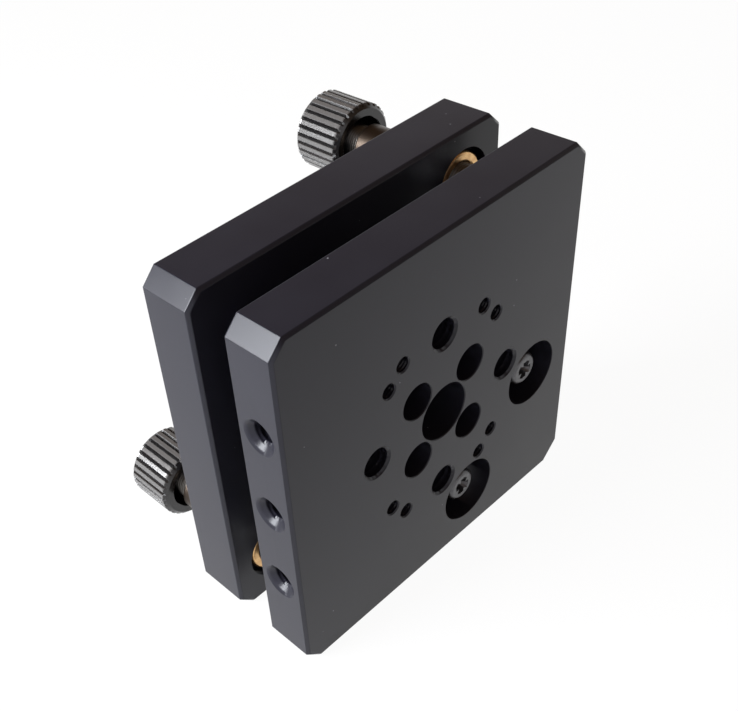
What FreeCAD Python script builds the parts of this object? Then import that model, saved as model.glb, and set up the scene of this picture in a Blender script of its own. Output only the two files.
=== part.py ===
import FreeCAD, Part
import math
import os
import Sketcher

# Two-axis kinematic tilt stage: two square plates stand on their lower edges, face to face.
# The rear plate is the base and carries two fine adjusters with knurled knobs. The front plate
# is the tilting platform: it rests on a ball at one corner and on the adjusters' ball tips at the
# two neighbouring corners, and two screws with compression springs pull it back against all three.
# Frame: X to the right, Z up, Y from the platform's front face towards the knobs. The origin is on
# the platform's front face, on the axis of its centre bore. Millimetres.

SIZES = [
    # the two plates
    ("plate_side", "65", "side of both square plates"),
    ("platform_thickness", "9", "front plate, the one that tilts"),
    ("base_thickness", "10", "rear plate, the one that is bolted down"),
    ("plate_gap", "7", "air between the plates at rest"),
    ("corner_chamfer", "2.5", "leg of the 45 degree corner chamfers"),
    ("pivot_corner_chamfer", "3.5", "leg of the larger chamfer at the platform's pivot corner"),
    ("edge_break", "0.5", "small chamfer round both faces of each plate"),
    # the hole pattern of the platform, and of the base behind it
    ("centre_bore_radius", "5", "through bore on the origin's axis"),
    ("inner_hole_offset", "6", "inner four clearance holes, across and up"),
    ("inner_hole_radius", "3.1", "M6 clearance"),
    ("cross_hole_offset", "15", "four holes up, down, left and right of the centre"),
    ("cross_tap_radius", "2.5", "M6 thread core"),
    ("cross_mouth_radius", "2.9", "countersunk mouth of the M6 holes"),
    ("diagonal_hole_offset", "12", "four small holes on the diagonals"),
    ("pair_hole_across", "9", "four small holes beside the cross, across"),
    ("pair_hole_up", "15", "the same four holes, up"),
    ("small_tap_radius", "1.25", "M3 thread core"),
    ("small_mouth_radius", "1.45", "countersunk mouth of the M3 holes"),
    ("side_hole_spacing", "15", "three tapped holes up the platform's left side"),
    ("side_tap_radius", "1.65", "M4 thread core"),
    ("side_mouth_radius", "3.05", "countersunk mouth of the M4 holes"),
    ("side_hole_depth", "8", "depth of the M4 holes"),
    # the three kinematic points
    ("adjuster_inset", "9", "pivot and adjusters from the plate's edges"),
    ("pivot_ball_radius", "5", "loose ball between the two cone seats"),
    ("seat_clearance", "0.05", "play between a ball and its seat"),
    ("cone_seat_radius", "6", "outside of the pressed cone seats"),
    ("cone_seat_depth", "3", "how deep the cone seats are let in"),
    ("cone_relief_radius", "1.1", "drilled relief at the bottom of each cone"),
    ("tip_seat_radius", "4.5", "outside of the vee seat and the flat seat"),
    ("tip_seat_depth", "3", "how deep the vee and flat seats are let in"),
    ("vee_seat_rise", "1.9", "vee seat above the platform's inner face"),
    # the adjusters
    ("tip_ball_radius", "2.5", "ball in the spindle's nose"),
    ("spindle_radius", "3", "M6 fine thread, outside"),
    ("thread_clearance", "0.05", "play of the spindle in its bushing"),
    ("nose_grip", "0.5", "spindle's nose beyond the tip ball's centre"),
    ("nose_chamfer", "0.3", "chamfer on the spindle's nose"),
    ("relief_radius", "5.7", "recess in the base round each bushing"),
    ("relief_depth", "2.2", "depth of that recess"),
    ("bushing_radius", "4.9", "brass bushing inside the base"),
    ("bushing_sink", "0.6", "bushing's ring below the base's front face"),
    ("barrel_radius", "3.8", "thin part of the bushing behind the base"),
    ("barrel_length", "10.6", "how far it stands out behind the base"),
    ("bushing_chamfer", "0.4", "chamfers on the bushing's ends"),
    # the knobs
    ("knob_radius", "6.75", "outside of the knurl"),
    ("knob_length", "10", "length of the knurled knob"),
    ("knob_standoff", "11.8", "air between the base's back and the knob"),
    ("knob_recess_radius", "4.6", "recess that swallows the bushing's barrel"),
    ("knob_recess_depth", "5", "depth of that recess"),
    ("knob_chamfer", "0.8", "chamfer at both ends of the knurl"),
    ("knurl_count", "30", "straight grooves round the knob"),
    ("knurl_depth", "0.45", "depth of a groove"),
    ("knurl_half_angle", "40", "half of a groove's angle, in degrees"),
    ("journal_radius", "2.5", "spindle's plain end inside the knob"),
    ("journal_clearance", "0.03", "play of that end in the knob"),
    ("spindle_end_sink", "0.5", "spindle's end below the knob's outer face"),
    ("drive_socket_size", "2.5", "hexagon socket in the spindle's end, across flats"),
    ("drive_socket_depth", "2.5", "depth of that socket"),
    ("set_screw_radius", "1.5", "M3 set screw that locks the knob"),
    ("set_screw_play", "0.05", "play round the set screw"),
    ("set_screw_sink", "0.7", "set screw below the knurl"),
    ("set_screw_socket_size", "1.5", "its hexagon socket, across flats"),
    ("set_screw_socket_depth", "1.4", "depth of that socket"),
    # the springs and their screws
    ("spring_inset", "10.1", "spring screws from the edges beside the pivot corner"),
    ("spring_offset", "6.6", "the same screws from the plate's centre lines"),
    ("spring_pocket_radius", "5.8", "counterbore in the platform's face"),
    ("spring_pocket_depth", "7.4", "depth of that counterbore"),
    ("screw_head_radius", "2.95", "M3 pan head"),
    ("screw_head_height", "2.4", "height of the head"),
    ("screw_head_sink", "1.3", "head below the platform's face"),
    ("screw_head_bevel", "0.5", "bevel of the head's rim"),
    ("screw_shank_radius", "1.5", "M3 thread, outside"),
    ("screw_clearance", "0.8", "play of the shank in the tilting platform"),
    ("screw_thread_play", "0.03", "play of the shank in the base"),
    ("screw_grip", "8", "thread held by the base"),
    ("cross_slot_width", "0.75", "width of the cross recess in the head"),
    ("cross_slot_length", "3.1", "length of the cross recess"),
    ("cross_slot_depth", "1.3", "depth of the cross recess"),
    ("spring_wire_radius", "0.35", "wire of the compression springs"),
    ("spring_radius", "2.15", "middle of the wire from the spring's axis"),
    ("spring_turns", "3", "turns of each spring"),
    ("spring_end_play", "0.02", "spring's ends from the head and the floor"),
]

# A spring's wire is drawn with few flat sides and short straight runs, which keeps its solid light.
WIRE_SIDES = 8
RUNS_PER_TURN = 12

# How far a cutting outline stands out of its solid.
OVERSHOOT = "1"

# Heights along Y that several pieces share, written as formulas on the sheet.
BASE_FRONT = "(sizes.platform_thickness + sizes.plate_gap)"
BASE_BACK = "(sizes.platform_thickness + sizes.plate_gap + sizes.base_thickness)"
BALL_PLANE = "(sizes.platform_thickness + sizes.plate_gap / 2)"
BUSHING_FRONT = f"({BASE_FRONT} + sizes.bushing_sink)"
BUSHING_END = f"({BASE_BACK} + sizes.barrel_length)"
KNOB_FRONT = f"({BASE_BACK} + sizes.knob_standoff)"
KNOB_BACK = f"({KNOB_FRONT} + sizes.knob_length)"
KNOB_SHOULDER = f"({KNOB_FRONT} + sizes.knob_recess_depth)"
SPINDLE_NOSE = f"({BALL_PLANE} - sizes.nose_grip)"
SPINDLE_END = f"({KNOB_BACK} - sizes.spindle_end_sink)"
SET_SCREW_PLANE = f"(({KNOB_SHOULDER} + {KNOB_BACK}) / 2)"

# Where the three kinematic points and the two springs are, across (X) and up (Z).
CORNER = "(sizes.plate_side / 2 - sizes.adjuster_inset)"
SPRING_REACH = "(sizes.plate_side / 2 - sizes.spring_inset)"
UPPER = (CORNER, CORNER)
LOWER = (f"-{CORNER}", f"-{CORNER}")
PIVOT = (CORNER, f"-{CORNER}")
RIGHT_SPRING = (SPRING_REACH, "-sizes.spring_offset")
BOTTOM_SPRING = ("sizes.spring_offset", f"-{SPRING_REACH}")


def add_sheet(doc):
    """The driving dimensions, one row each: name, value, what it is."""
    sheet = doc.addObject("Spreadsheet::Sheet", "sizes")
    for row, (alias, value, meaning) in enumerate(SIZES, start=1):
        sheet.set(f"A{row}", alias)
        sheet.set(f"B{row}", value)
        sheet.set(f"C{row}", meaning)
        sheet.setAlias(f"B{row}", alias)
    doc.recompute()
    return sheet


def add_body(doc, label, across="0", along="0", up="0"):
    """An empty body whose place in the stage is bound to the sheet."""
    body = doc.addObject("PartDesign::Body", label)
    body.Label = label
    for axis, formula in (("x", across), ("y", along), ("z", up)):
        body.setExpression(f"Placement.Base.{axis}", formula)
    return body


def add_sketch(body, name, role, offset="0"):
    """A sketch on one of the body's own planes, moved along that plane's normal."""
    sketch = body.newObject("Sketcher::SketchObject", name)
    plane = next(item for item in body.Origin.OriginFeatures if item.Role == role)
    sketch.AttachmentSupport = (plane, [""])
    sketch.MapMode = "FlatFace"
    sketch.setExpression("AttachmentOffset.Base.z", offset)
    return sketch


def constrain(sketch, formula, kind, *where):
    """One driving constraint bound to a formula on the sheet."""
    number = sketch.addConstraint(Sketcher.Constraint(kind, *where, 1.0))
    sketch.setExpression(f"Constraints[{number}]", formula)


def draw_polygon(sketch, corners):
    """A closed outline, each corner placed from the sketch's origin by two formulas."""
    count = len(corners)
    spots = [FreeCAD.Vector(i, i * i, 0) for i in range(count)]
    first = sketch.GeometryCount
    for i in range(count):
        sketch.addGeometry(Part.LineSegment(spots[i], spots[(i + 1) % count]), False)
    for i in range(count):
        sketch.addConstraint(Sketcher.Constraint("Coincident", first + i, 2, first + (i + 1) % count, 1))
    for i, (across, up) in enumerate(corners):
        constrain(sketch, across, "DistanceX", -1, 1, first + i, 1)
        constrain(sketch, up, "DistanceY", -1, 1, first + i, 1)


def draw_circles(sketch, centres, radius):
    """Circles of one radius, each centre placed by two formulas."""
    for across, up in centres:
        circle = sketch.addGeometry(Part.Circle(FreeCAD.Vector(1, 1, 0), FreeCAD.Vector(0, 0, 1), 1), False)
        constrain(sketch, across, "DistanceX", -1, 1, circle, 3)
        constrain(sketch, up, "DistanceY", -1, 1, circle, 3)
        constrain(sketch, radius, "Radius", circle)


def hexagon(size):
    """Corners of a hexagon from its size across flats."""
    reach = f"{size} / sqrt(3)"
    return [(f"{reach} * cos({angle} deg)", f"{reach} * sin({angle} deg)") for angle in range(0, 360, 60)]


def revolve(body, name, corners, cut=False):
    """A turned form: corners are (radius, place along Y), spun round the body's Y axis."""
    sketch = add_sketch(body, f"{name}_profile", "XY_Plane")
    draw_polygon(sketch, corners)
    kind = "PartDesign::Groove" if cut else "PartDesign::Revolution"
    feature = body.newObject(kind, name)
    feature.Profile = sketch
    feature.ReferenceAxis = (sketch, ["V_Axis"])
    feature.Angle = 360
    return feature


def pad(body, name, corners, depth):
    """A flat form pushed from the body's XZ plane towards +Y."""
    sketch = add_sketch(body, f"{name}_outline", "XZ_Plane")
    draw_polygon(sketch, corners)
    feature = body.newObject("PartDesign::Pad", name)
    feature.Profile = sketch
    feature.Reversed = True
    feature.setExpression("Length", depth)
    return feature


def pocket(body, name, centres, radius, depth=None, level="0", rear=False):
    """Round holes cut along Y from a level; the rear ones are cut back towards -Y."""
    sketch = add_sketch(body, f"{name}_centres", "XZ_Plane", f"-({level})")
    draw_circles(sketch, centres, radius)
    feature = body.newObject("PartDesign::Pocket", name)
    feature.Profile = sketch
    feature.Reversed = rear
    if depth is None:
        feature.Type = "ThroughAll"
    else:
        feature.setExpression("Length", depth)
    return feature


def mirrored(across, up):
    """The four places that mirror one another about both centre lines."""
    return [(f"{a}{across}", f"{b}{up}") for a in ("", "-") for b in ("", "-")]


def cross(offset):
    """The four places right, left, above and below the centre."""
    return [(offset, "0"), (f"-{offset}", "0"), ("0", offset), ("0", f"-{offset}")]


def edges_where(feature, wanted):
    """Names of the feature's edges that a test picks out."""
    return [f"Edge{i}" for i, edge in enumerate(feature.Shape.Edges, start=1) if wanted(edge)]


def chamfer(body, name, wanted, size):
    """A chamfer on the picked edges of what the body is so far."""
    body.Document.recompute()
    base = body.Tip
    feature = body.newObject("PartDesign::Chamfer", name)
    feature.Base = (base, edges_where(base, wanted))
    feature.setExpression("Size", size)
    return feature


def is_rim(edge, radius, along, axis="y"):
    """True for a full circle of this radius that lies at this place along an axis."""
    if not isinstance(edge.Curve, Part.Circle) or len(edge.Vertexes) != 1:
        return False
    place = getattr(edge.Curve.Center, axis)
    return abs(edge.Curve.Radius - radius) < 1e-4 and abs(place - along) < 1e-4


def is_outline(edge, sheet, faces):
    """True for a straight edge of the plate's outline in one of its two faces."""
    if not isinstance(edge.Curve, Part.Line) or len(edge.Vertexes) != 2:
        return False
    ends = [vertex.Point for vertex in edge.Vertexes]
    flat = any(all(abs(end.y - face) < 1e-4 for end in ends) for face in faces)
    reach = sheet.plate_side / 2 - max(sheet.corner_chamfer, sheet.pivot_corner_chamfer) - 1e-4
    return flat and all(max(abs(end.x), abs(end.z)) > reach for end in ends)


def plate_outline(pivot_chamfer):
    """Square with chamfered corners, drawn from the lower left corner round to the right."""
    half = "sizes.plate_side / 2"
    cut = f"({half} - sizes.corner_chamfer)"
    pivot = f"({half} - {pivot_chamfer})"
    return [
        (f"-{cut}", f"-({half})"), (pivot, f"-({half})"), (half, f"-{pivot}"), (half, cut),
        (cut, half), (f"-{cut}", half), (f"-({half})", cut), (f"-({half})", f"-{cut}"),
    ]


def make_platform(doc, sheet):
    """Front plate: the hole pattern, two spring counterbores, three side holes and three seats."""
    body = add_body(doc, "platform_plate")
    pad(body, "plate", plate_outline("sizes.pivot_corner_chamfer"), "sizes.platform_thickness")
    faces = (0, sheet.platform_thickness)
    chamfer(body, "edge_breaks", lambda edge: is_outline(edge, sheet, faces), "sizes.edge_break")
    pocket(body, "centre_bore", [("0", "0")], "sizes.centre_bore_radius")
    inner = mirrored("sizes.inner_hole_offset", "sizes.inner_hole_offset")
    pocket(body, "inner_holes", inner, "sizes.inner_hole_radius")
    pocket(body, "cross_holes", cross("sizes.cross_hole_offset"), "sizes.cross_tap_radius")
    small = mirrored("sizes.diagonal_hole_offset", "sizes.diagonal_hole_offset")
    small += mirrored("sizes.pair_hole_across", "sizes.pair_hole_up")
    pocket(body, "small_holes", small, "sizes.small_tap_radius")
    springs = [RIGHT_SPRING, BOTTOM_SPRING]
    pocket(body, "spring_counterbores", springs, "sizes.spring_pocket_radius", "sizes.spring_pocket_depth")
    pocket(body, "spring_screw_holes", springs, "sizes.screw_shank_radius + sizes.screw_clearance")
    rear = {"level": "sizes.platform_thickness", "rear": True}
    pocket(body, "cone_seat_pocket", [PIVOT], "sizes.cone_seat_radius", "sizes.cone_seat_depth", **rear)
    pocket(body, "tip_seat_pockets", [UPPER, LOWER], "sizes.tip_seat_radius", "sizes.tip_seat_depth", **rear)
    add_side_holes(body)
    countersink(body, sheet, "cross", 0)
    countersink(body, sheet, "small", 0)
    countersink(body, sheet, "side", -sheet.plate_side / 2, "x")
    return body


def countersink(body, sheet, kind, along, axis="y"):
    """A chamfer on every rim of one kind of tapped hole that lies in one face of the plate."""
    radius = getattr(sheet, f"{kind}_tap_radius")
    chamfer(
        body, f"{kind}_mouths", lambda edge: is_rim(edge, radius, along, axis),
        f"sizes.{kind}_mouth_radius - sizes.{kind}_tap_radius",
    )


def add_side_holes(body):
    """Three blind tapped holes in the left side, at the middle of the plate's thickness."""
    sketch = add_sketch(body, "side_hole_centres", "YZ_Plane", "-sizes.plate_side / 2")
    middle = "sizes.platform_thickness / 2"
    centres = [(middle, "0"), (middle, "sizes.side_hole_spacing"), (middle, "-sizes.side_hole_spacing")]
    draw_circles(sketch, centres, "sizes.side_tap_radius")
    holes = body.newObject("PartDesign::Pocket", "side_holes")
    holes.Profile = sketch
    holes.Reversed = True
    holes.setExpression("Length", "sizes.side_hole_depth")


def make_base(doc, sheet):
    """Rear plate: a recess and a bore for each bushing, the cone seat's pocket and its own holes."""
    body = add_body(doc, "base_plate", along=BASE_FRONT)
    pad(body, "plate", plate_outline("sizes.corner_chamfer"), "sizes.base_thickness")
    faces = (0, sheet.base_thickness)
    chamfer(body, "edge_breaks", lambda edge: is_outline(edge, sheet, faces), "sizes.edge_break")
    pocket(body, "centre_bore", [("0", "0")], "sizes.centre_bore_radius")
    pocket(body, "cross_holes", cross("sizes.cross_hole_offset"), "sizes.cross_tap_radius")
    adjusters = [UPPER, LOWER]
    pocket(body, "bushing_recesses", adjusters, "sizes.relief_radius", "sizes.relief_depth")
    pocket(body, "bushing_bores", adjusters, "sizes.bushing_radius")
    pocket(body, "cone_seat_pocket", [PIVOT], "sizes.cone_seat_radius", "sizes.cone_seat_depth")
    tapped = "sizes.screw_shank_radius + sizes.screw_thread_play"
    pocket(body, "spring_screw_holes", [RIGHT_SPRING, BOTTOM_SPRING], tapped, "sizes.screw_grip")
    countersink(body, sheet, "cross", sheet.base_thickness)
    return body


def make_pivot_ball(doc):
    """Loose steel ball between the two cone seats."""
    body = add_body(doc, "pivot_ball", PIVOT[0], BALL_PLANE, PIVOT[1])
    ball = body.newObject("PartDesign::AdditiveSphere", "ball")
    ball.setExpression("Radius", "sizes.pivot_ball_radius")
    return body


def cone_profile(face, floor):
    """Cone seat: a ring whose 90 degree cone opens at its face towards the ball."""
    reach = "sqrt(2) * (sizes.pivot_ball_radius + sizes.seat_clearance)"
    side = "1" if face == "front" else "-1"
    mouth = f"({reach} - sizes.plate_gap / 2)"
    bottom = f"({floor} + {side} * ({mouth} - sizes.cone_relief_radius))"
    back = f"({floor} + {side} * sizes.cone_seat_depth)"
    return [
        (mouth, floor), ("sizes.cone_seat_radius", floor), ("sizes.cone_seat_radius", back),
        ("sizes.cone_relief_radius", back), ("sizes.cone_relief_radius", bottom),
    ]


def make_cone_seats(doc):
    """Hardened seats for the pivot ball, one pressed into each plate flush with its inner face."""
    body = add_body(doc, "base_cone_seat", PIVOT[0], "0", PIVOT[1])
    revolve(body, "seat", cone_profile("front", BASE_FRONT))
    body = add_body(doc, "platform_cone_seat", PIVOT[0], "0", PIVOT[1])
    revolve(body, "seat", cone_profile("back", "sizes.platform_thickness"))


def make_vee_seat(doc):
    """Hardened seat with a 90 degree groove that points at the pivot, for the upper ball tip."""
    body = add_body(doc, "vee_seat", UPPER[0], "0", UPPER[1])
    bottom = "(sizes.platform_thickness - sizes.tip_seat_depth)"
    top = "(sizes.platform_thickness + sizes.vee_seat_rise)"
    button(body, bottom, top)
    apex = f"({BALL_PLANE} - sqrt(2) * (sizes.tip_ball_radius + sizes.seat_clearance))"
    above = f"({top} + {OVERSHOOT})"
    reach = f"({above} - {apex})"
    sketch = add_sketch(body, "groove_profile", "XY_Plane")
    draw_polygon(sketch, [("0", apex), (reach, above), (f"-{reach}", above)])
    groove = body.newObject("PartDesign::Pocket", "groove")
    groove.Profile = sketch
    groove.Type = "ThroughAll"
    groove.Midplane = True
    return body


def make_flat_seat(doc):
    """Hardened flat button for the lower ball tip."""
    body = add_body(doc, "flat_seat", LOWER[0], "0", LOWER[1])
    bottom = "(sizes.platform_thickness - sizes.tip_seat_depth)"
    top = f"({BALL_PLANE} - sizes.tip_ball_radius - sizes.seat_clearance)"
    button(body, bottom, top)
    return body


def button(body, bottom, top):
    """A round button with a small chamfer on its free rim."""
    rim = "(sizes.tip_seat_radius - sizes.edge_break)"
    shoulder = f"({top} - sizes.edge_break)"
    revolve(body, "button", [
        ("0", bottom), ("sizes.tip_seat_radius", bottom), ("sizes.tip_seat_radius", shoulder),
        (rim, top), ("0", top),
    ])


def make_bushing(doc, label, place):
    """Brass bushing pressed into the base, with a thin barrel that stands out behind it."""
    body = add_body(doc, label, place[0], "0", place[1])
    bore = "(sizes.spindle_radius + sizes.thread_clearance)"
    lip = "sizes.bushing_chamfer"
    revolve(body, "bushing", [
        (f"({bore} + {lip})", BUSHING_FRONT), (f"(sizes.bushing_radius - {lip})", BUSHING_FRONT),
        ("sizes.bushing_radius", f"({BUSHING_FRONT} + {lip})"), ("sizes.bushing_radius", BASE_BACK),
        ("sizes.barrel_radius", BASE_BACK), ("sizes.barrel_radius", f"({BUSHING_END} - {lip})"),
        (f"(sizes.barrel_radius - {lip})", BUSHING_END), (bore, BUSHING_END),
        (bore, f"({BUSHING_FRONT} + {lip})"),
    ])
    return body


def make_tip_ball(doc, label, place):
    """Steel ball held in the spindle's nose."""
    body = add_body(doc, label, place[0], BALL_PLANE, place[1])
    ball = body.newObject("PartDesign::AdditiveSphere", "ball")
    ball.setExpression("Radius", "sizes.tip_ball_radius")
    return body


def make_spindle(doc, label, place):
    """Fine-thread spindle: a drilled cup for its ball, a plain journal and a hexagon socket behind."""
    body = add_body(doc, label, place[0], "0", place[1])
    edge = "sizes.nose_chamfer"
    cup = "(sizes.tip_ball_radius + sizes.seat_clearance)"
    revolve(body, "shaft", [
        ("0", f"({BALL_PLANE} + sqrt(2) * {cup})"), (cup, f"({BALL_PLANE} + (sqrt(2) - 1) * {cup})"),
        (cup, SPINDLE_NOSE), (f"(sizes.spindle_radius - {edge})", SPINDLE_NOSE),
        ("sizes.spindle_radius", f"({SPINDLE_NOSE} + {edge})"), ("sizes.spindle_radius", KNOB_SHOULDER),
        ("sizes.journal_radius", KNOB_SHOULDER), ("sizes.journal_radius", f"({SPINDLE_END} - {edge})"),
        (f"(sizes.journal_radius - {edge})", SPINDLE_END), ("0", SPINDLE_END),
    ])
    sketch = add_sketch(body, "socket_outline", "XZ_Plane", f"-{SPINDLE_END}")
    draw_polygon(sketch, hexagon("sizes.drive_socket_size"))
    socket = body.newObject("PartDesign::Pocket", "drive_socket")
    socket.Profile = sketch
    socket.Reversed = True
    socket.setExpression("Length", "sizes.drive_socket_depth")
    return body


def make_knob(doc, label, place):
    """Knurled knob: a hub on the spindle, a recess over the bushing's barrel, and a set screw hole."""
    body = add_body(doc, label, place[0], "0", place[1])
    hub_bore = "(sizes.journal_radius + sizes.journal_clearance)"
    bevel = "sizes.knob_chamfer"
    revolve(body, "blank", [
        ("sizes.knob_recess_radius", KNOB_FRONT), (f"(sizes.knob_radius - {bevel})", KNOB_FRONT),
        ("sizes.knob_radius", f"({KNOB_FRONT} + {bevel})"), ("sizes.knob_radius", f"({KNOB_BACK} - {bevel})"),
        (f"(sizes.knob_radius - {bevel})", KNOB_BACK), (hub_bore, KNOB_BACK),
        (hub_bore, KNOB_SHOULDER), ("sizes.knob_recess_radius", KNOB_SHOULDER),
    ])
    add_set_screw_hole(body)
    add_knurl(body)
    return body


def add_set_screw_hole(body):
    """Tapped hole through the underside of the knurl into the hub's bore."""
    sketch = add_sketch(body, "set_screw_centre", "XY_Plane")
    draw_circles(sketch, [("0", SET_SCREW_PLANE)], "sizes.set_screw_radius + sizes.set_screw_play")
    hole = body.newObject("PartDesign::Pocket", "set_screw_hole")
    hole.Profile = sketch
    hole.setExpression("Length", f"sizes.knob_radius + {OVERSHOOT}")


def add_knurl(body):
    """Straight knurl: one vee groove along the knob, repeated round it."""
    sketch = add_sketch(body, "knurl_profile", "XZ_Plane", f"-({KNOB_FRONT} - {OVERSHOOT})")
    outside = f"(sizes.knob_radius + {OVERSHOOT})"
    width = f"(({OVERSHOOT} + sizes.knurl_depth) * tan(sizes.knurl_half_angle * 1 deg))"
    root = "(sizes.knob_radius - sizes.knurl_depth)"
    draw_polygon(sketch, [("0", f"-{root}"), (width, f"-{outside}"), (f"-{width}", f"-{outside}")])
    groove = body.newObject("PartDesign::Pocket", "knurl_groove")
    groove.Profile = sketch
    groove.Type = "ThroughAll"
    knurl = body.newObject("PartDesign::PolarPattern", "knurl")
    knurl.Originals = [groove]
    knurl.Axis = (sketch, ["N_Axis"])
    knurl.Angle = 360
    knurl.setExpression("Occurrences", "sizes.knurl_count")
    body.Tip = knurl


def make_set_screw(doc, label, place):
    """M3 set screw, let into the knob's underside and stopped against the spindle's journal."""
    body = add_body(doc, label, place[0], SET_SCREW_PLANE, place[1])
    inner = "(sizes.journal_radius + sizes.journal_clearance)"
    outer = "(sizes.knob_radius - sizes.set_screw_sink)"
    sketch = add_sketch(body, "shank_outline", "XY_Plane", f"-{inner}")
    draw_circles(sketch, [("0", "0")], "sizes.set_screw_radius")
    shank = body.newObject("PartDesign::Pad", "shank")
    shank.Profile = sketch
    shank.Reversed = True
    shank.setExpression("Length", f"{outer} - {inner}")
    sketch = add_sketch(body, "socket_outline", "XY_Plane", f"-{outer}")
    draw_polygon(sketch, hexagon("sizes.set_screw_socket_size"))
    socket = body.newObject("PartDesign::Pocket", "socket")
    socket.Profile = sketch
    socket.Reversed = True
    socket.setExpression("Length", "sizes.set_screw_socket_depth")
    return body


def make_spring_screw(doc, sheet, label, place):
    """M3 pan head screw with a cross recess, held by the base, that keeps a spring on the platform."""
    body = add_body(doc, label, place[0], "sizes.screw_head_sink", place[1])
    end = f"({BASE_FRONT} + sizes.screw_grip - sizes.screw_head_sink - sizes.screw_thread_play)"
    revolve(body, "screw", [
        ("0", "0"), ("sizes.screw_head_radius", "0"),
        ("sizes.screw_head_radius", "sizes.screw_head_height"),
        ("sizes.screw_shank_radius", "sizes.screw_head_height"),
        ("sizes.screw_shank_radius", end), ("0", end),
    ])
    chamfer(
        body, "head_bevel", lambda edge: is_rim(edge, sheet.screw_head_radius, 0),
        "sizes.screw_head_bevel",
    )
    half_width = "sizes.cross_slot_width / 2"
    half_length = "sizes.cross_slot_length / 2"
    sketch = add_sketch(body, "recess_outline", "XZ_Plane")
    draw_polygon(sketch, cross_outline(half_width, half_length))
    recess = body.newObject("PartDesign::Pocket", "cross_recess")
    recess.Profile = sketch
    recess.setExpression("Length", "sizes.cross_slot_depth")
    return body


def cross_outline(narrow, far):
    """A plus sign with arms of one width and reach."""
    quarter = [(f"{narrow}", f"{narrow}"), (f"{narrow}", f"{far}"), (f"-{narrow}", f"{far}")]
    corners = []
    for turn in range(4):
        for across, up in quarter:
            corners.append(turned(across, up, turn))
    return corners


def turned(across, up, quarters):
    """A formula pair turned by quarter turns about the origin."""
    for _ in range(quarters):
        across, up = f"-({up})", across
    return across, up


def spring_path(sheet, start, end):
    """Corners of the wire's middle line: short straight runs along a helix round Y."""
    runs = round(RUNS_PER_TURN * sheet.spring_turns)
    points = []
    for i in range(runs + 1):
        angle = 2 * math.pi * i / RUNS_PER_TURN
        along = start + (end - start) * i / runs
        points.append(FreeCAD.Vector(
            sheet.spring_radius * math.cos(angle), along, sheet.spring_radius * math.sin(angle)))
    return points


def wire_section(centre, ahead, radius):
    """The wire's cut end: a polygon round its first corner, square to its first run."""
    first = ahead.cross(FreeCAD.Vector(0, 1, 0)).normalize() * radius
    turn = [FreeCAD.Rotation(ahead, 360 * i / WIRE_SIDES) for i in range(WIRE_SIDES)]
    corners = [centre + rotation.multVec(first) for rotation in turn]
    return Part.Wire(Part.makePolygon(corners + corners[:1]))


def make_spring(doc, sheet, label, across, up):
    """Compression spring between the counterbore's floor and the screw's head."""
    inset = sheet.spring_wire_radius + sheet.spring_end_play
    start = sheet.screw_head_sink + sheet.screw_head_height + inset
    points = spring_path(sheet, start, sheet.spring_pocket_depth - inset)
    section = wire_section(points[0], points[1] - points[0], sheet.spring_wire_radius)
    spring = doc.addObject("Part::Feature", label)
    spring.Label = label
    spring.Shape = Part.makePolygon(points).makePipeShell([section], True, False, 1)
    spring.Placement = FreeCAD.Placement(FreeCAD.Vector(across, 0, up), FreeCAD.Rotation())
    return spring


def make_adjuster(doc, name, place):
    """One adjuster: bushing, ball, spindle, knob and set screw on one axis."""
    make_bushing(doc, f"{name}_bushing", place)
    make_tip_ball(doc, f"{name}_tip_ball", place)
    make_spindle(doc, f"{name}_spindle", place)
    make_knob(doc, f"{name}_knob", place)
    make_set_screw(doc, f"{name}_set_screw", place)


def sub_parts(doc):
    """The pieces that are written out: every body, and every feature outside one."""
    return [item for item in doc.Objects if item.TypeId in ("PartDesign::Body", "Part::Feature")]


def check(doc):
    """Stops if any object failed, cut nothing, or left a shape that can't be used."""
    for item in doc.Objects:
        if "Invalid" in item.State or "Error" in item.State:
            raise RuntimeError(f"{item.Label} failed: {item.State}")
        if item.TypeId == "PartDesign::Pocket":
            before = item.BaseFeature.Shape.Volume
            if item.Shape.Volume > before - 1e-6:
                raise RuntimeError(f"{item.Label} cut nothing from {item.getParentGeoFeatureGroup().Label}")
    for part in sub_parts(doc):
        if part.Shape.isNull() or not part.Shape.isValid() or not part.Shape.Solids:
            raise RuntimeError(f"{part.Label} has no valid solid")


def export(doc):
    """Writes each piece where it stands, and prints its size."""
    os.makedirs("parts", exist_ok=True)
    for part in sub_parts(doc):
        part.Shape.exportStep(os.path.join("parts", f"{part.Label}.step"))
        print(part.Label, len(part.Shape.Solids), "solid,", round(part.Shape.Volume, 1), "mm3")


def build():
    doc = FreeCAD.newDocument("tilt_stage")
    sheet = add_sheet(doc)
    make_base(doc, sheet)
    make_platform(doc, sheet)
    make_pivot_ball(doc)
    make_cone_seats(doc)
    make_vee_seat(doc)
    make_flat_seat(doc)
    make_adjuster(doc, "upper", UPPER)
    make_adjuster(doc, "lower", LOWER)
    make_spring_screw(doc, sheet, "right_spring_screw", RIGHT_SPRING)
    make_spring_screw(doc, sheet, "bottom_spring_screw", BOTTOM_SPRING)
    spring_reach = sheet.plate_side / 2 - sheet.spring_inset
    make_spring(doc, sheet, "right_spring", spring_reach, -sheet.spring_offset)
    make_spring(doc, sheet, "bottom_spring", sheet.spring_offset, -spring_reach)
    doc.recompute()
    check(doc)
    export(doc)


build()
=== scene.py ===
import math

import bpy
from mathutils import Matrix, Vector


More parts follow.
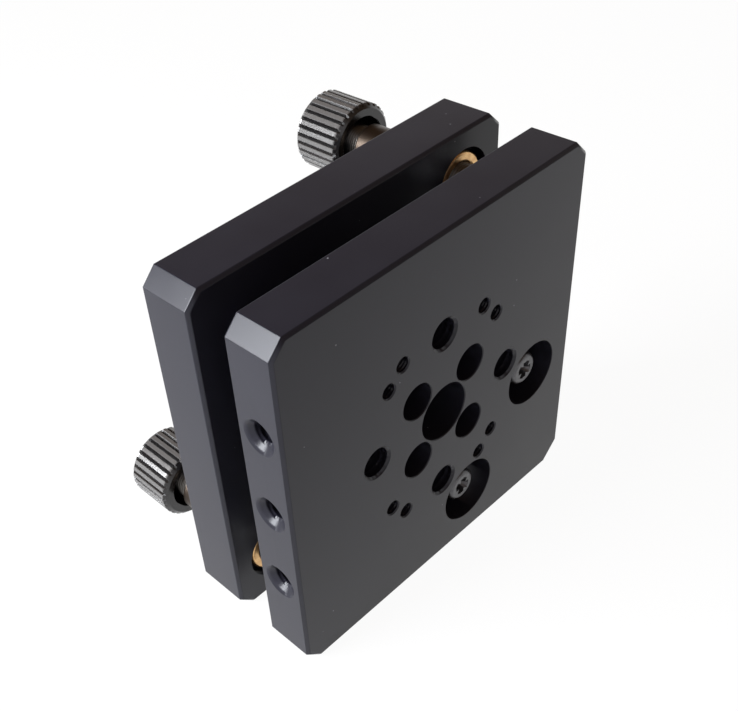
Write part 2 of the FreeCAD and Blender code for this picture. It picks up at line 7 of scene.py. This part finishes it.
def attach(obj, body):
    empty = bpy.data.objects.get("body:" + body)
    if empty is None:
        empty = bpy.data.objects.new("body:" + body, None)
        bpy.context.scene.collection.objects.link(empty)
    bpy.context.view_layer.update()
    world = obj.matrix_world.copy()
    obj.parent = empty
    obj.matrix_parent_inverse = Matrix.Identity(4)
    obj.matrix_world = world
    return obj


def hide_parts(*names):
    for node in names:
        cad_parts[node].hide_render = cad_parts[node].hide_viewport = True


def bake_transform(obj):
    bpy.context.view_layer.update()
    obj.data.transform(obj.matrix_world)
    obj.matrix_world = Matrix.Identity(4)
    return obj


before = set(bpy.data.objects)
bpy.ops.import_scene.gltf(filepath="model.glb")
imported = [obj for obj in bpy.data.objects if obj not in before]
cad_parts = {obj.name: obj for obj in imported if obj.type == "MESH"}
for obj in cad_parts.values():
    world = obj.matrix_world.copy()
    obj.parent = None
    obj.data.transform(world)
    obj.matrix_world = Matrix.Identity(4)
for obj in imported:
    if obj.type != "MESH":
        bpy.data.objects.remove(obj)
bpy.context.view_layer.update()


# The view. The stage is seen from its front left and above, with a little roll, as the photograph
# was taken. The camera is aimed along a direction and kept upright by a second one.

def aim(thing, place, direction, upright):
    """Puts a camera or lamp at a place, looking along a direction."""
    back = -Vector(direction).normalized()
    right = Vector(upright).cross(back).normalized()
    turn = Matrix((right, back.cross(right), back)).transposed()
    thing.matrix_world = Matrix.Translation(place) @ turn.to_4x4()


bpy.ops.object.camera_add()
camera = bpy.context.object
camera.name = "photograph_view"
aim(camera, place=(-0.0926, -0.0764, 0.1089), direction=(0.4586, 0.5979, -0.6574),
    upright=(0.5057, 0.4327, 0.7463))
camera.data.sensor_width = 36.0
camera.data.lens = 50.7
camera.data.shift_x = 0.14
camera.data.shift_y = 0.064
camera.data.clip_start = 0.01
bpy.context.scene.camera = camera


# The plates. Two squares of aluminium sawn from bar, milled all over, chamfered, drilled and
# tapped, then bead-blasted and anodised black. The threads are cut before the finish.

class Field:
    """One socket of a finish. An operator on it adds the Math node for it and gives a new field."""

    def __init__(self, finish, socket):
        self.finish, self.socket = finish, socket

    def maths(self, operation, other=0.0):
        return self.finish.add("ShaderNodeMath", {"operation": operation}, {0: self, 1: other})

    def __add__(self, other):
        return self.maths("ADD", other)

    def __sub__(self, other):
        return self.maths("SUBTRACT", other)

    def __mul__(self, other):
        return self.maths("MULTIPLY", other)

    __radd__ = __add__
    __rmul__ = __mul__


class Finish:
    """A material under construction. The slot it is given is stored and not used."""

    def __init__(self, name, slot=None):
        self.material = bpy.data.materials.new(name)
        self.material.use_nodes = True
        self.slot = slot
        self.surface = self.material.node_tree.nodes["Principled BSDF"]
        self.point = self.add("ShaderNodeTexCoord", output="Object")

    def fill(self, node, inputs):
        """Sets a node's inputs. A field is linked and any other value is written on the socket."""
        for name, value in inputs.items():
            if isinstance(value, Field):
                self.material.node_tree.links.new(value.socket, node.inputs[name])
            else:
                node.inputs[name].default_value = value

    def add(self, kind, settings={}, inputs={}, output=0):
        """Puts in one node and gives back one of its outputs."""
        node = self.material.node_tree.nodes.new(kind)
        for name, value in settings.items():
            setattr(node, name, value)
        self.fill(node, inputs)
        return Field(self, node.outputs[output])

    def grain(self, size, detail=2.0):
        """Cloudy noise whose patches are this many metres across."""
        inputs = {"Vector": self.point, "Scale": 1 / size, "Detail": detail}
        return self.add("ShaderNodeTexNoise", {}, inputs)

    def mix(self, factor, first, second):
        """Blends two colours by a field."""
        inputs = {0: factor, 6: first, 7: second}
        return self.add("ShaderNodeMix", {"data_type": "RGBA"}, inputs, output=2)

    def along(self, axis):
        """One coordinate of the point, in metres."""
        return self.add("ShaderNodeSeparateXYZ", {}, {"Vector": self.point}, output=axis)

    def bump(self, height, depth):
        """Normals of a surface that stands out by this many metres where the height is one."""
        return self.add("ShaderNodeBump", {}, {"Height": height, "Distance": depth})

    def cover(self, piece):
        """Gives the whole piece this finish."""
        piece.data.materials.clear()
        piece.data.materials.append(self.material)


def only(thing):
    """Leaves one object selected and active."""
    bpy.ops.object.select_all(action="DESELECT")
    thing.select_set(True)
    bpy.context.view_layer.objects.active = thing


def settle(thing):
    """Moves the object's place into its mesh."""
    only(thing)
    bpy.ops.object.transform_apply(location=True, rotation=True, scale=True)


hair = 1e-6  # Two places closer than this are the same.


def copy_of(node, name):
    """A merged copy of a CAD node's mesh, with its flat faces made whole."""
    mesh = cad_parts[node].data.copy()
    piece = bpy.data.objects.new(name, mesh)
    bpy.context.scene.collection.objects.link(piece)
    only(piece)
    bpy.ops.object.mode_set(mode="EDIT")
    bpy.ops.mesh.select_all(action="SELECT")
    bpy.ops.mesh.remove_doubles(threshold=hair)
    bpy.ops.mesh.dissolve_limited(angle_limit=math.radians(0.3))
    bpy.ops.object.mode_set(mode="OBJECT")
    return piece


def pick(piece, kind, wanted):
    """In edit mode: selects the vertices, edges or faces that a test picks out, nothing else."""
    modes = {"vertices": "VERT", "edges": "EDGE", "polygons": "FACE"}
    bpy.ops.object.mode_set(mode="EDIT")
    bpy.ops.mesh.select_mode(type=modes[kind])
    bpy.ops.mesh.select_all(action="DESELECT")
    bpy.ops.object.mode_set(mode="OBJECT")
    for item in getattr(piece.data, kind):
        item.select = wanted(item)
    bpy.ops.object.mode_set(mode="EDIT")


def ends(piece, edge):
    """The two ends of an edge."""
    return [piece.data.vertices[i].co for i in edge.vertices]


def apply(piece, kind, **settings):
    """Adds a modifier and applies it."""
    only(piece)
    modifier = piece.modifiers.new(kind, kind)
    for name, value in settings.items():
        setattr(modifier, name, value)
    bpy.ops.object.modifier_apply(modifier=modifier.name)


def cut(piece, tool):
    """Cuts a tool out of a piece and throws the tool away."""
    apply(piece, "BOOLEAN", object=tool, operation="DIFFERENCE", solver="EXACT")
    bpy.data.objects.remove(tool)


def cap(piece, corners):
    """Joins the turns of a new coil, closes its two ends and faces it outwards."""
    only(piece)
    bpy.ops.object.mode_set(mode="EDIT")
    bpy.ops.mesh.select_all(action="SELECT")
    bpy.ops.mesh.remove_doubles(threshold=1e-7)
    bpy.ops.mesh.fill_holes(sides=corners)
    bpy.ops.mesh.select_all(action="SELECT")
    bpy.ops.mesh.normals_make_consistent(inside=False)
    bpy.ops.object.mode_set(mode="OBJECT")


def chaser(root, tip, pitch, turns):
    """A coil of three-cornered bar along Z that cuts a screw thread from its root to its tip."""
    bpy.ops.mesh.primitive_circle_add(vertices=3, radius=pitch / 2, fill_type="NOTHING")
    coil = bpy.context.object
    half = 0.42 * pitch  # A narrow flat stays between two turns.
    corners = ((root, 0, -half), (tip, 0, 0), (root, 0, half))
    for vertex, corner in zip(coil.data.vertices, corners):
        vertex.co = corner
    apply(coil, "SCREW", steps=24, render_steps=24, screw_offset=pitch, iterations=turns, axis="Z")
    cap(coil, corners=3)
    return coil


def chasers(coil, places, turn):
    """Copies of one coil, turned to their holes and joined into one tool."""
    copies = []
    for place in places:
        copy = coil.copy()
        copy.data = coil.data.copy()
        bpy.context.scene.collection.objects.link(copy)
        copy.matrix_world = Matrix.Translation(place) @ turn
        settle(copy)
        copies.append(copy)
    bpy.data.objects.remove(coil)
    bpy.ops.object.select_all(action="DESELECT")
    for copy in copies:
        copy.select_set(True)
    bpy.context.view_layer.objects.active = copies[0]
    bpy.ops.object.join()
    return copies[0]


def soften(piece, width, wanted, segments=2):
    """A small rounding on the corners that a test picks out. Edges inside a flat face stay out."""
    only(piece)
    pick(piece, "edges", lambda edge: False)
    bpy.ops.mesh.edges_select_sharp(sharpness=math.radians(10))
    bpy.ops.object.mode_set(mode="OBJECT")
    corners = {edge.index for edge in piece.data.edges if edge.select}
    pick(piece, "edges", lambda edge: edge.index in corners and wanted(edge))
    bpy.ops.mesh.bevel(offset=width, segments=segments, affect="EDGES", clamp_overlap=True)
    bpy.ops.object.mode_set(mode="OBJECT")


def smooth(piece, degrees=30):
    """Smooth shading that breaks at corners and keeps the large faces flat."""
    only(piece)
    bpy.ops.object.shade_smooth_by_angle(angle=math.radians(degrees))
    apply(piece, "WEIGHTED_NORMAL", mode="FACE_AREA", weight=50, keep_sharp=True)


def is_outline(piece, edge):
    """True for the long edges round a plate and at its corners."""
    a, b = ends(piece, edge)
    inside, shortest = 0.0287, 0.0015
    outside = all(max(abs(end.x), abs(end.z)) > inside for end in (a, b))
    return outside and (a - b).length > shortest


def is_rim(piece, edge, bores):
    """True for the edges where open bores meet the front face."""
    a, b = ends(piece, edge)
    slack = 2e-5
    return max(abs(a.y), abs(b.y)) < hair and any(
        abs(math.hypot(end.x - across, end.z - up) - radius) < slack
        for across, up, radius in bores for end in (a, b))


along_y = Matrix.Rotation(math.radians(-90), 4, "X")
along_x = Matrix.Rotation(math.radians(90), 4, "Y")

# Bores are given as across, up and radius, and tapped holes as across and up.
screws = {"right": (0.0224, -0.0066), "bottom": (0.0066, -0.0224)}
open_bores = [(across, up, 0.0058) for across, up in screws.values()] + [(0, 0, 0.005)]
open_bores += [(across, up, 0.0031) for across in (0.006, -0.006) for up in (0.006, -0.006)]
cross = [(0.015, 0), (-0.015, 0), (0, 0.015), (0, -0.015)]
diagonal = [(across, up) for across in (0.012, -0.012) for up in (0.012, -0.012)]
beside = [(across, up) for across in (0.009, -0.009) for up in (0.015, -0.015)]
side_holes = [(-0.0314, 0.0045, up) for up in (0.015, 0, -0.015)]
large_start, small_start, back_start = 0.0011, 0.0005, 0.0145

platform = copy_of("platform_plate", "platform")
soften(platform, width=0.00010, wanted=lambda edge: is_outline(platform, edge))
soften(platform, width=0.00014, wanted=lambda edge: is_rim(platform, edge, open_bores), segments=1)
large = chaser(root=0.00245, tip=0.00280, pitch=0.001, turns=9)
cut(platform, chasers(large, [(across, large_start, up) for across, up in cross], along_y))
small = chaser(root=0.00121, tip=0.00142, pitch=0.0005, turns=18)
places = [(across, small_start, up) for across, up in diagonal + beside]
cut(platform, chasers(small, places, along_y))
sideways = chaser(root=0.0016, tip=0.00192, pitch=0.0008, turns=7)
cut(platform, chasers(sideways, side_holes, along_x))
smooth(platform)

base = copy_of("base_plate", "base")
soften(base, width=0.00012, wanted=lambda edge: is_outline(base, edge))
large = chaser(root=0.00245, tip=0.00280, pitch=0.001, turns=10)
cut(base, chasers(large, [(across, back_start, up) for across, up in cross], along_y))
smooth(base)

anodised = Finish("black_anodised_plate", "anodised_plate")
blast = anodised.grain(0.00009)
cloud = anodised.grain(0.009)
specks_per_metre, speck_reach, bare_share = 420.0, 0.05, 0.82
cells = {"Vector": anodised.point, "Scale": specks_per_metre}
near = anodised.add("ShaderNodeTexVoronoi", {}, cells).maths("LESS_THAN", speck_reach)
shade = anodised.add("ShaderNodeTexVoronoi", {}, cells, output="Color")
few = anodised.add("ShaderNodeSeparateColor", {}, {0: shade}).maths("GREATER_THAN", bare_share)
dust = near * few
skin = anodised.mix(cloud, (0.009, 0.009, 0.014, 1), (0.013, 0.013, 0.019, 1))
anodised.fill(anodised.surface, {
    "Base Color": anodised.mix(dust, skin, (0.17, 0.17, 0.19, 1)),
    "Roughness": 0.27 + 0.09 * cloud + 0.15 * dust,
    "IOR": 1.33,
    "Normal": anodised.bump(blast, 0.000003),
})
anodised.cover(platform)
anodised.cover(base)
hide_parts("platform_plate")
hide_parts("base_plate")
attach(platform, "platform")
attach(base, "base")


# The seats. Four hardened steel buttons pressed into the plates: two cones for the loose ball, a
# vee and a flat for the adjusters' tips. They are ground after hardening, so their faces are bright.

seats = {
    "base_cone_seat": "base",
    "platform_cone_seat": "platform",
    "vee_seat": "platform",
    "flat_seat": "platform",
}
ground = Finish("ground_seat_steel", "seat_steel")
lay = ground.grain(0.00012, detail=4.0)
ground.fill(ground.surface, {
    "Base Color": ground.mix(lay, (0.50, 0.50, 0.51, 1), (0.62, 0.62, 0.62, 1)),
    "Metallic": 1.0,
    "Roughness": 0.22 + 0.16 * lay,
    "Normal": ground.bump(lay, 0.000002),
})
for node, body in seats.items():
    seat = copy_of(node, f"{node}_ground")
    smooth(seat)
    ground.cover(seat)
    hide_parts(node)
    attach(seat, body)


# The balls. Polished bearing steel: one lies loose between the cones and two are held in the
# spindles' noses.

balls = {"pivot_ball": "pivot", "upper_tip_ball": "upper_tip", "lower_tip_ball": "lower_tip"}
polished = Finish("polished_ball_steel", "ball_steel")
haze = polished.grain(0.002)
polished.fill(polished.surface, {
    "Base Color": (0.78, 0.78, 0.79, 1),
    "Metallic": 1.0,
    "Roughness": 0.06 + 0.06 * haze,
})
for node, body in balls.items():
    ball = copy_of(node, f"{node}_polished")
    smooth(ball, degrees=60)
    polished.cover(ball)
    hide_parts(node)
    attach(ball, body)


# The bushings. Turned brass, pressed into the base from its front, each with a thin barrel that
# stands out behind. The lathe leaves fine rings on every face.

def is_turned(piece, edge):
    """True for an edge that runs round a turned piece's axis."""
    a, b = ends(piece, edge)
    return abs(a.y - b.y) < hair


base_back, lathe_feed = 0.0262, 0.00022
brass = Finish("turned_brass", "bronze")
rings = (brass.along(1) * (2 * math.pi / lathe_feed)).maths("SINE")
patina = brass.grain(0.0012)
# Behind the base the barrel is painted near black: painted shade where it sits inside the knob's
# recess. It is also a little rougher there.
painted_shade_behind_base = brass.along(1).maths("GREATER_THAN", base_back)
ring = brass.mix(patina, (0.86, 0.58, 0.27, 1), (0.50, 0.27, 0.12, 1))
barrel = brass.mix(patina, (0.075, 0.060, 0.048, 1), (0.045, 0.032, 0.024, 1))
brass.fill(brass.surface, {
    "Base Color": brass.mix(painted_shade_behind_base, ring, barrel),
    "Metallic": 1.0,
    "Roughness": 0.22 + 0.14 * patina + 0.08 * painted_shade_behind_base,
    "Normal": brass.bump(rings, 0.000002),
})
for side in ("upper", "lower"):
    bushing = copy_of(f"{side}_bushing", f"{side}_bushing_turned")
    soften(bushing, width=0.00012, wanted=lambda edge: is_turned(bushing, edge))
    smooth(bushing)
    brass.cover(bushing)
    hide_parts(f"{side}_bushing")
    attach(bushing, "base")


# The spindles. Stainless steel with a fine thread, ground at the nose and turned down to a plain
# journal inside the knob.

offset, nose_start = 0.0235, 0.0130
adjusters = {"upper": (offset, offset), "lower": (-offset, -offset)}

stainless = Finish("threaded_stainless", "spindle_steel")
drawn = stainless.grain(0.0006)
# The steel is painted far darker than bare stainless: painted shade for the bushing's bore and the
# gap between the plates where it shows.
stainless.fill(stainless.surface, {
    "Base Color": stainless.mix(drawn, (0.08, 0.075, 0.07, 1), (0.15, 0.14, 0.13, 1)),
    "Metallic": 1.0,
    "Roughness": 0.28 + 0.14 * drawn,
})
for side, (across, up) in adjusters.items():
    spindle = copy_of(f"{side}_spindle", f"{side}_spindle_threaded")
    coil = chaser(root=0.00304, tip=0.00276, pitch=0.0005, turns=59)
    cut(spindle, chasers(coil, [(across, nose_start, up)], along_y))
    smooth(spindle)
    stainless.cover(spindle)
    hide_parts(f"{side}_spindle")
    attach(spindle, f"{side}_adjuster")


# The knobs. Turned aluminium with thirty straight grooves, a recess that swallows the bushing's
# barrel and a hub on the spindle, anodised black. The knurling tool leaves fine ribs across.

def knob_at(side, across, up):
    """One knob: a fluted cylinder whose ends are drawn in, hollowed in front and bored through."""
    front, back = 0.0378, 0.0478
    # Radii of the flutes' crests and roots and of the ends, then of the recess and the bore.
    crest, root, lip = 0.00675, 0.0063, 0.00595
    recess_mouth, recess, bore_mouth, bore = 0.0047, 0.0046, 0.00265, 0.00253
    # Lengths along the axis, outside and then inside.
    knurl, slope, collar, rib = 0.0084, 0.00045, 0.00035, 0.0003
    mouth_depth, recess_depth, bore_mouth_depth = 0.0001, 0.0049, 0.00012
    rib_depth, grooves = 0.00005, 30
    points = 4 * grooves
    centre = (across, (front + back) / 2, up)

    def is_root(vertex):
        angle = math.degrees(math.atan2(vertex.co.z - up, vertex.co.x - across))
        return round(angle * points / 360) % 4 == 3

    def squeeze(factor):
        bpy.ops.transform.resize(value=(factor, 1, factor), center_override=centre)

    def push(depth):
        bpy.ops.mesh.extrude_region_move(TRANSFORM_OT_translate={"value": (0, depth, 0)})

    bpy.ops.object.select_all(action="DESELECT")
    bpy.ops.mesh.primitive_cylinder_add(
        vertices=points, radius=crest, depth=knurl, location=centre,
        rotation=(math.radians(90), 0, 0))
    knob = bpy.context.object
    knob.name = f"{side}_knob_knurled"
    settle(knob)
    pick(knob, "vertices", is_root)
    squeeze(root / crest)
    pick(knob, "edges", lambda edge: not is_turned(knob, edge))
    bpy.ops.mesh.subdivide(number_cuts=round(knurl / rib) - 1)
    knurl_front = front + slope + collar
    pick(knob, "vertices", lambda vertex: round((vertex.co.y - knurl_front) / rib) % 2 == 1)
    squeeze(1 - rib_depth / crest)
    for outward in (-1, 1):
        end = centre[1] + outward * knurl / 2
        pick(knob, "polygons", lambda face: abs(face.center.y - end) < hair)
        push(outward * slope)
        end += outward * slope
        pick(knob, "vertices", lambda vertex: abs(vertex.co.y - end) < hair and not is_root(vertex))
        squeeze(root / crest)
        pick(knob, "polygons", lambda face: abs(face.center.y - end) < hair)
        push(outward * collar)
        squeeze(lip / root)
    pick(knob, "polygons", lambda face: abs(face.center.y - front) < hair)
    bpy.ops.mesh.inset(thickness=lip - recess_mouth)
    push(mouth_depth)
    squeeze(recess / recess_mouth)
    push(recess_depth)
    bpy.ops.mesh.inset(thickness=recess - bore)
    bpy.ops.mesh.delete(type="FACE")
    pick(knob, "polygons", lambda face: abs(face.center.y - back) < hair)
    bpy.ops.mesh.inset(thickness=lip - bore_mouth)
    push(-bore_mouth_depth)
    squeeze(bore / bore_mouth)
    bpy.ops.mesh.delete(type="FACE")
    pick(knob, "edges", lambda edge: False)
    bpy.ops.mesh.select_non_manifold()
    bpy.ops.mesh.bridge_edge_loops()
    bpy.ops.mesh.select_all(action="SELECT")
    bpy.ops.mesh.normals_make_consistent(inside=False)
    bpy.ops.object.mode_set(mode="OBJECT")
    return knob


knurled = Finish("black_knurled_knob", "knob_black")
rub = knurled.grain(0.0004)
crest_start, crest_top = 0.0066, 0.00678
off_across = knurled.along(0).maths("ABSOLUTE") - offset
off_up = knurled.along(2).maths("ABSOLUTE") - offset
reach = (off_across * off_across + off_up * off_up).maths("SQRT")
crests = knurled.add("ShaderNodeMapRange", {}, {
    "Value": reach, "From Min": crest_start, "From Max": crest_top})
# The crests are painted lighter and metallic: partly wear through the anodising, partly a painted
# highlight for the bright lines that the crests catch.
wear_and_highlight = crests * (0.6 + 0.4 * rub)
black = knurled.mix(rub, (0.004, 0.004, 0.004, 1), (0.010, 0.009, 0.009, 1))
knurled.fill(knurled.surface, {
    "Base Color": knurled.mix(wear_and_highlight, black, (0.26, 0.255, 0.25, 1)),
    "Metallic": wear_and_highlight,
    "Roughness": 0.16 + 0.10 * rub,
    "IOR": 1.55,
    "Normal": knurled.bump(rub, 0.000004),
})
for side, (across, up) in adjusters.items():
    knob = knob_at(side, across, up)
    screw_hole = (across, 0.0453, up - 0.0054)
    bpy.ops.mesh.primitive_cylinder_add(vertices=32, radius=0.00155, depth=0.006, location=screw_hole)
    cut(knob, bpy.context.object)
    smooth(knob, degrees=25)
    knurled.cover(knob)
    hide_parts(f"{side}_knob")
    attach(knob, f"{side}_adjuster")


# The small screws. A black pan head screw with a cross recess holds each spring, and a black set
# screw locks each knob to its spindle.

def is_head_rim(screw, edge, across, up):
    """True for the round edges of a screw's head."""
    a, b = ends(screw, edge)
    bevel_end, recess_side = 0.0019, 0.0023
    reach = min(math.hypot(end.x - across, end.z - up) for end in (a, b))
    return is_turned(screw, edge) and max(a.y, b.y) < bevel_end and reach > recess_side


def cross_arm(across, up, turn):
    """A tapered bar that cuts one arm pair of the cross into a screw's head."""
    length, depth, width = 0.0036, 0.0014, 0.00105
    middle = (across, 0.0018, up)
    bpy.ops.object.select_all(action="DESELECT")
    bpy.ops.mesh.primitive_cube_add(size=1, location=middle, scale=(length, depth, width))
    arm = bpy.context.object
    settle(arm)
    pick(arm, "vertices", lambda vertex: vertex.co.y > middle[1])
    bpy.ops.transform.resize(value=(0.5, 1, 0.6), center_override=middle)
    bpy.ops.object.mode_set(mode="OBJECT")
    centre = Matrix.Translation((across, 0, up))
    arm.matrix_world = centre @ Matrix.Rotation(math.radians(turn), 4, "Y") @ centre.inverted()
    settle(arm)
    return arm


head_back, thread_start = 0.0037, 0.0054
blackened = Finish("black_oxide_screw", "black_oxide")
oil = blackened.grain(0.0009)
blackened.fill(blackened.surface, {
    "Base Color": blackened.mix(oil, (0.060, 0.060, 0.064, 1), (0.130, 0.130, 0.135, 1)),
    "Metallic": 0.8,
    "Roughness": 0.22 + 0.18 * oil,
})
for side, (across, up) in screws.items():
    screw = copy_of(f"{side}_spring_screw", f"{side}_spring_screw_threaded")
    soften(screw, width=0.00022, wanted=lambda edge: is_head_rim(screw, edge, across, up), segments=3)
    for turn in (30, 120):
        cut(screw, cross_arm(across, up, turn))
    coil = chaser(root=0.00153, tip=0.00124, pitch=0.0005, turns=36)
    cut(screw, chasers(coil, [(across, thread_start, up)], along_y))
    smooth(screw)
    blackened.cover(screw)
    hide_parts(f"{side}_spring_screw")
    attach(screw, "base")
for side in adjusters:
    grub = copy_of(f"{side}_set_screw", f"{side}_set_screw_black")
    smooth(grub)
    blackened.cover(grub)
    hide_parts(f"{side}_set_screw")
    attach(grub, f"{side}_adjuster")


# The springs. Drawn steel wire, three turns between the counterbore's floor and the screw's head.

wire_radius, coil_radius, coil_length, turns = 0.00028, 0.00223, 0.00304, 3
first_turn, counterbore_floor = 0.00402, 0.0074

wire_steel = Finish("spring_wire", "spring_steel")
draw = wire_steel.grain(0.0004)
wire_steel.fill(wire_steel.surface, {
    "Base Color": wire_steel.mix(draw, (0.42, 0.42, 0.42, 1), (0.55, 0.55, 0.54, 1)),
    "Metallic": 1.0,
    "Roughness": 0.24 + 0.14 * draw,
})
for side, (across, up) in screws.items():
    bpy.ops.object.select_all(action="DESELECT")
    bpy.ops.mesh.primitive_circle_add(
        vertices=16, radius=wire_radius, rotation=(math.radians(90), 0, 0))
    spring = bpy.context.object
    spring.name = f"{side}_spring_coiled"
    settle(spring)
    pick(spring, "vertices", lambda vertex: True)
    bpy.ops.transform.translate(value=(coil_radius, 0, 0))
    bpy.ops.object.mode_set(mode="OBJECT")
    apply(spring, "SCREW", steps=32, render_steps=32, screw_offset=coil_length / turns,
          iterations=turns, axis="Z")
    cap(spring, corners=16)
    spring.matrix_world = Matrix.Translation((across, first_turn, up)) @ along_y
    settle(spring)
    smooth(spring, degrees=40)
    wire_steel.cover(spring)
    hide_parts(f"{side}_spring")
    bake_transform(spring)


# The table and the light. A plain white table under the stage and white paper hung all round it,
# one large soft lamp behind to the left, a weaker one in front, and a dim warm room above.

foot = -0.0325
bpy.ops.mesh.primitive_plane_add(size=6, location=(0, 0, foot))
table = bpy.context.object
table.name = "table"
white = Finish("white_table")
fibre = white.grain(0.002)
white.fill(white.surface, {
    "Base Color": white.mix(fibre, (0.90, 0.90, 0.90, 1), (0.94, 0.94, 0.94, 1)),
    "Roughness": 0.9,
})
seen = white.add("ShaderNodeLightPath", output="Is Camera Ray")
for ray in ("Is Glossy Ray", "Is Transmission Ray"):
    seen = seen.maths("MAXIMUM", white.add("ShaderNodeLightPath", output=ray))
lit = Field(white, white.surface.outputs[0])
glow = white.add("ShaderNodeEmission")
both = white.add("ShaderNodeMixShader", {}, {0: seen * 0.95, 1: lit, 2: glow})
white.fill(white.material.node_tree.nodes["Material Output"], {"Surface": both})
table.data.materials.append(white.material)

bpy.context.scene.view_settings.view_transform = "Standard"
world = bpy.data.worlds.new("room")
world.use_nodes = True


def around(kind, inputs={}, **settings):
    """Adds one node to the room round the table and gives back its outputs."""
    node = world.node_tree.nodes.new(kind)
    for name, value in settings.items():
        setattr(node, name, value)
    for name, value in inputs.items():
        if isinstance(value, bpy.types.NodeSocket):
            world.node_tree.links.new(value, node.inputs[name])
        else:
            node.inputs[name].default_value = value
    return node.outputs


paper_top, room_bottom = 0.26, 0.42  # Heights of the sight line, as the sine of its angle.
room = around("ShaderNodeBackground", {"Color": (1.0, 0.62, 0.36, 1), "Strength": 0.20})
paper = around("ShaderNodeBackground", {"Color": (1, 1, 1, 1)})
rays = around("ShaderNodeLightPath")
shown = rays["Is Camera Ray"]
for ray in ("Is Glossy Ray", "Is Transmission Ray"):
    shown = around("ShaderNodeMath", {0: shown, 1: rays[ray]}, operation="MAXIMUM")[0]
height = around("ShaderNodeSeparateXYZ", {0: around("ShaderNodeTexCoord")["Generated"]})["Z"]
low = around("ShaderNodeMapRange", {
    "Value": height, "From Min": room_bottom, "From Max": paper_top})
hung = around("ShaderNodeMath", {0: shown, 1: low[0]}, operation="MULTIPLY")
surround = around("ShaderNodeMixShader", {0: hung[0], 1: room[0], 2: paper[0]})
world_end = world.node_tree.nodes["World Output"]
world.node_tree.links.new(surround[0], world_end.inputs["Surface"])
bpy.context.scene.world = world


def lamp(name, place, size, power, colour):
    """A square soft lamp aimed at the stage."""
    bpy.ops.object.light_add(type="AREA")
    thing = bpy.context.object
    thing.name = name
    thing.data.size = size
    thing.data.energy = power
    thing.data.color = colour
    aim(thing, place, direction=-Vector(place), upright=(0, 0, 1))


lamp("window", place=(-0.336, 0.157, 0.199), size=0.24, power=5.6, colour=(0.92, 0.95, 1.0))
lamp("front_fill", place=(-0.28, -0.36, 0.40), size=0.40, power=0.4, colour=(0.88, 0.92, 1.0))
